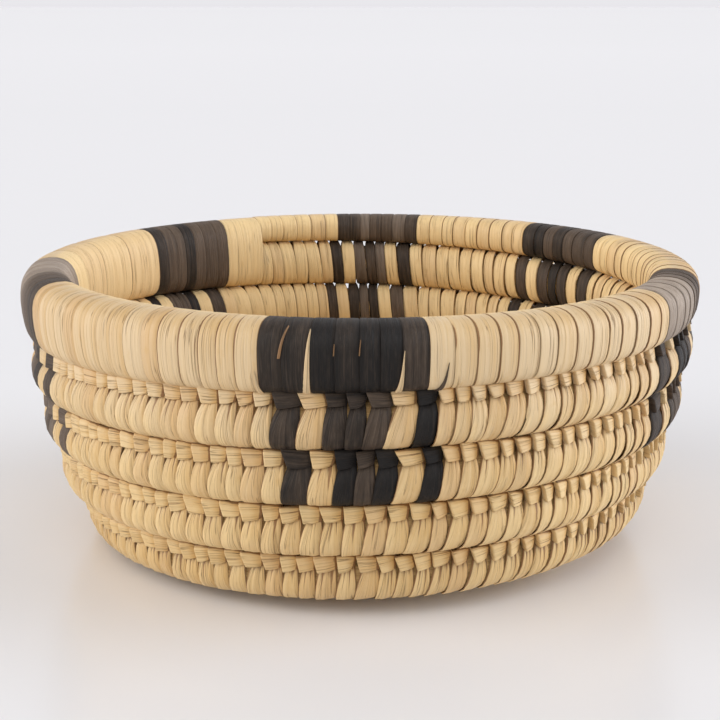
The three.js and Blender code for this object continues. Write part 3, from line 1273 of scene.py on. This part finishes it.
@dataclass
class GrassBundle:
    """The bundle of stems inside the sewing, from the coil's start to its tail."""

    path: CoilPath
    inset: float = 0.0009
    around: int = 12
    turn_steps: int = 48
    merge: float = 0.06
    pinch: float = 0.3

    def section(self, turn: float) -> Section:
        """The bundle's section, which swells from the last wall turn into the rim."""
        wall = self.path.section(turn)
        rim = self.path.rim(turn) if turn > self.path.rim_turn else wall
        merged = smooth(self.path.rim_turn, self.path.rim_turn + self.merge, turn)
        near = max(0.0, 1 - abs(turn - self.path.rim_turn) / self.merge)
        joined = wall.towards(rim, merged)
        slim = 1 - self.pinch * near
        return replace(
            joined,
            half_along=(joined.half_along - self.inset) * slim,
            half_across=(joined.half_across - self.inset) * slim,
        )

    def build(self, finishes: Finishes) -> bpy.types.Object:
        """Makes the bundle.

        Args:
            finishes: The basket's materials.

        Returns:
            The piece.
        """
        mesh = StripMesh()
        steps = round(self.path.tail_turn * self.turn_steps)
        length = FULL_TURN * self.path.floor_radius * self.path.tail_turn
        columns = tuple(2 * column / self.around - 1 for column in range(self.around + 1))
        rows = tuple(step / steps for step in range(steps + 1))
        size = (FULL_TURN * self.path.coil_radius, length)
        for vert, column, row in mesh.patch(columns, rows, size, MIDDLE_TONE):
            turn = rows[row] * self.path.tail_turn
            around = -math.pi * columns[column]
            vert.co = self.section(turn).point(self.path.angle(turn), around, 0.0)
        mesh.close()
        ends = [edge for edge in mesh.bm.edges if edge.is_boundary]
        bmesh.ops.holes_fill(mesh.bm, edges=ends, sides=0)
        bmesh.ops.recalc_face_normals(mesh.bm, faces=mesh.bm.faces)
        return mesh.finish("grass_bundle", finishes.grass, GRASS_SLOT, ["coil_bundle"])


@dataclass
class SewnTurns:
    """A part of the coil with its stitches and, in the outer groove over them, their knots."""

    name: str
    path: CoilPath
    stitches: list[Stitch]
    form: StripForm
    on_rim: bool = False
    knotted: bool = True
    slivers: tuple[Sliver, ...] = ()

    def build(self, finishes: Finishes, nodes: dict[Leaf, list[str]], knot_nodes: list[str]) -> None:
        """Makes the stitches and the knots, each kind of leaf as a piece of its own.

        Args:
            finishes: The basket's materials.
            nodes: The CAD nodes that the stitches of each leaf stand for.
            knot_nodes: The CAD nodes that the knots stand for.
        """
        sewer = Sewer(self.path, self.form, self.on_rim)
        tier = KnotTier(self.path)
        for leaf in Leaf:
            chosen = [stitch for stitch in self.stitches if stitch.leaf is leaf]
            if not chosen:
                continue
            strips = StripMesh()
            for stitch in chosen:
                sewer.loop(strips, stitch)
            for sliver in self.slivers:
                if sliver.leaf is leaf:
                    sewer.sliver(strips, sliver)
            strips.finish(f"{self.name}_{leaf.value}", finishes.leaf[leaf], LEAF_SLOT[leaf], nodes[leaf])
            if not self.knotted:
                continue
            knots = StripMesh()
            for stitch in chosen:
                tier.tie(knots, stitch, self.form.slant)
            stood_for = knot_nodes if leaf is Leaf.NATURAL else []
            knots.finish(f"{self.name}_knots_{leaf.value}", finishes.leaf[leaf], LEAF_SLOT[leaf], stood_for)


@dataclass
class Basket:
    """The whole basket, from the bundle out."""

    path: CoilPath = field(default_factory=CoilPath)
    wall_form: StripForm = field(default_factory=StripForm)
    rim_form: StripForm = field(
        default_factory=lambda: StripForm(
            face=1.02, inner=1.03, neck=1.02, foot=1.0, loose=0.02, bed=0.0006, swell=0.0004,
            inner_swell=0.0, crown=0.00005, edge_drop=0.00028, lay=0.0001, slant=0.0, slit=0.01,
            slit_depth=0.0, folds=(0,), fan=1.0, shade=0.0, edge_shade=0.7, seam_shadow_odds=0.76, seam_shadow_from=0.84,
            left_seam_shadow=1.0, rows=tuple(range(-90, 271, 24)),
        )
    )
    base_form: StripForm = field(default_factory=lambda: StripForm(slant=0.1, folds=(0,)))
    drifts: tuple[float, float, float] = (2.8, 1.6, 0.2)
    rim_spacing: float = 0.0058
    tail_spacings: Range = (0.018, 0.016)
    base_run: float = 0.25
    slivers: tuple[Sliver, ...] = (
        Sliver(Leaf.NATURAL, 0.3, (255.8, 255.3), (-80, -5), (0.0022, 0.0003)),
        Sliver(Leaf.NATURAL, 1.2, (258.8, 259.9), (4, 66), (0.0008, 0.0004)),
        Sliver(Leaf.NATURAL, 0.3, (262.2, 263.1), (-80, 58), (0.0028, 0.0003)),
        Sliver(Leaf.NATURAL, 1.2, (266.4, 266.5), (8, 26), (0.0003, 0.0002)),
        Sliver(Leaf.NATURAL, 1.2, (269.9, 270.1), (8, 34), (0.0003, 0.0002)),
        Sliver(Leaf.NATURAL, 0.3, (275.2, 276.1), (-80, 14), (0.0027, 0.0002)),
        Sliver(Leaf.DARK, 0.8, (281.0, 282.3), (-80, 0), (0.0023, 0.0002)),
    )

    def nodes(self, prefix: str) -> list[str]:
        """The CAD nodes whose names start alike."""
        return sorted(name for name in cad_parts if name.startswith(prefix))

    def leaf_nodes(self, prefix: str) -> dict[Leaf, list[str]]:
        """The CAD nodes of a patterned turn, by leaf."""
        return {leaf: self.nodes(f"{prefix}_{leaf.value}_") for leaf in Leaf}

    def build(self, finishes: Finishes) -> None:
        """Makes every piece.

        Args:
            finishes: The basket's materials.
        """
        path = self.path
        plan = SewingPlan(path)
        GrassBundle(path).build(finishes)
        self.build_base(finishes, plan)
        for number in (1, 2):
            start = path.base_turns + number - 1
            turns = SewnTurns(f"wall_{number}", path, plan.plain(start, start + 1), self.wall_form)
            turns.build(finishes, {Leaf.NATURAL: [f"wall_strips_{number}"]}, [f"knot_row_{number}"])
        for number, drift in zip((3, 4), self.drifts):
            start = path.base_turns + number - 1
            stitches = plan.patterned(start, drift)
            turns = SewnTurns(f"wall_{number}", path, stitches, self.wall_form)
            turns.build(finishes, self.leaf_nodes(f"wall_{number}"), [f"knot_row_{number}"])
        plan.spacing = self.rim_spacing
        wraps = plan.patterned(path.rim_turn, self.drifts[-1], on_rim=True, wide=self.tail_spacings)
        rim = SewnTurns(
            "rim", path, wraps, self.rim_form, on_rim=True, knotted=False, slivers=self.slivers
        )
        rim.build(finishes, self.leaf_nodes("rim"), [])

    def build_base(self, finishes: Finishes, plan: SewingPlan) -> None:
        """Makes the base's sewing, with fewer stitches to a turn nearer its middle.

        Args:
            finishes: The basket's materials.
            plan: Shares the stitches out.
        """
        end = self.path.base_turns
        stitches = []
        start = 0.0
        while start < end:
            last = min(start + self.base_run, end)
            stitches += plan.plain(start, last)
            start = last
        base = SewnTurns("base", self.path, stitches, self.base_form)
        base.build(finishes, {Leaf.NATURAL: self.nodes("base_strips_")}, [])


# The studio


@dataclass(frozen=True)
class Lamp:
    """A soft, even light: where it shines from, its width in degrees and its strength."""

    name: str
    place: tuple[float, float, float]
    spread: float
    strength: float
    colour: Colour = (1.0, 1.0, 1.0)

    def build(self) -> None:
        """Makes the light."""
        data = bpy.data.lights.new(self.name, "SUN")
        data.color = self.colour
        data.angle = math.radians(self.spread)
        data.energy = self.strength
        lamp = bpy.data.objects.new(self.name, data)
        lamp.location = self.place
        lamp.rotation_euler = (-Vector(self.place)).to_track_quat("-Z", "Y").to_euler()
        bpy.context.scene.collection.objects.link(lamp)


@dataclass(frozen=True)
class Studio:
    """The pale glossy floor, the soft light and the camera."""

    eye: tuple[float, float, float] = (0.0, -0.5175, 0.1794)
    pitch_down: float = math.radians(13.33)
    lens: float = 75.95
    sensor_width: float = 36.0
    clip_start: float = 0.01
    floor_size: float = 80.0
    floor_colour: Colour = (0.862, 0.853, 0.864)
    floor_roughness: float = 0.22
    floor_gloss: float = 0.5
    haze: Colour = (0.815, 0.806, 0.836)
    sky: Colour = (0.985, 0.98, 0.98)
    world_strength: float = 0.53
    lamps: tuple[Lamp, ...] = (
        Lamp("key", (-0.05, -0.70, 0.70), 50.0, 0.6),
        Lamp("right", (0.94, 0.06, 0.18), 50.0, 2.7, (0.95, 1.0, 1.10)),
        Lamp("left", (-0.94, -0.12, 0.20), 50.0, 2.15, (1.0, 0.99, 0.99)),
    )

    def build(self) -> None:
        """Makes the camera, the floor and the lights."""
        self.build_camera()
        self.build_floor()
        self.build_world()
        for lamp in self.lamps:
            lamp.build()

    def build_camera(self) -> None:
        """Makes the camera at the photograph's viewing angle."""
        data = bpy.data.cameras.new("camera")
        data.lens = self.lens
        data.sensor_width = self.sensor_width
        data.clip_start = self.clip_start
        camera = bpy.data.objects.new("camera", data)
        camera.location = self.eye
        camera.rotation_euler = (math.pi / 2 - self.pitch_down, 0.0, 0.0)
        bpy.context.scene.collection.objects.link(camera)
        bpy.context.scene.camera = camera

    def build_floor(self) -> None:
        """Makes the floor, which mirrors a little."""
        bm = bmesh.new()
        bmesh.ops.create_grid(bm, x_segments=1, y_segments=1, size=self.floor_size / 2)
        mesh = bpy.data.meshes.new("floor")
        bm.to_mesh(mesh)
        bm.free()
        shader = Shader(bpy.data.materials.new("floor"))
        inputs = {
            "Base Color": self.floor_colour,
            "Roughness": self.floor_roughness,
            "Specular IOR Level": self.floor_gloss,
        }
        shader.show(shader.node("ShaderNodeBsdfPrincipled", {}, inputs), "ShaderNodeOutputMaterial")
        mesh.materials.append(shader.owner)
        floor = bpy.data.objects.new("floor", mesh)
        bpy.context.scene.collection.objects.link(floor)

    def build_world(self) -> None:
        """Makes the even light from all sides, and the pale haze behind the basket."""
        shader = Shader(bpy.data.worlds.new("studio"))
        bpy.context.scene.world = shader.owner
        kinds = ("Is Camera Ray", "Is Glossy Ray")
        seen = shader.math("MAXIMUM", *(shader.node("ShaderNodeLightPath", {}, {}, kind) for kind in kinds))
        inputs = {
            "Color": shader.blend(seen, self.sky, self.haze),
            "Strength": shader.within((self.world_strength, 1.0), seen),
        }
        shader.show(shader.node("ShaderNodeBackground", {}, inputs), "ShaderNodeOutputWorld")


def main() -> None:
    """Builds the studio and the basket."""
    logging.basicConfig(level=logging.INFO, format="%(message)s")
    bpy.context.scene.view_settings.view_transform = "Standard"
    Studio().build()
    Basket().build(Finishes())
    bpy.context.view_layer.update()


if __name__ == "__main__":
    main()
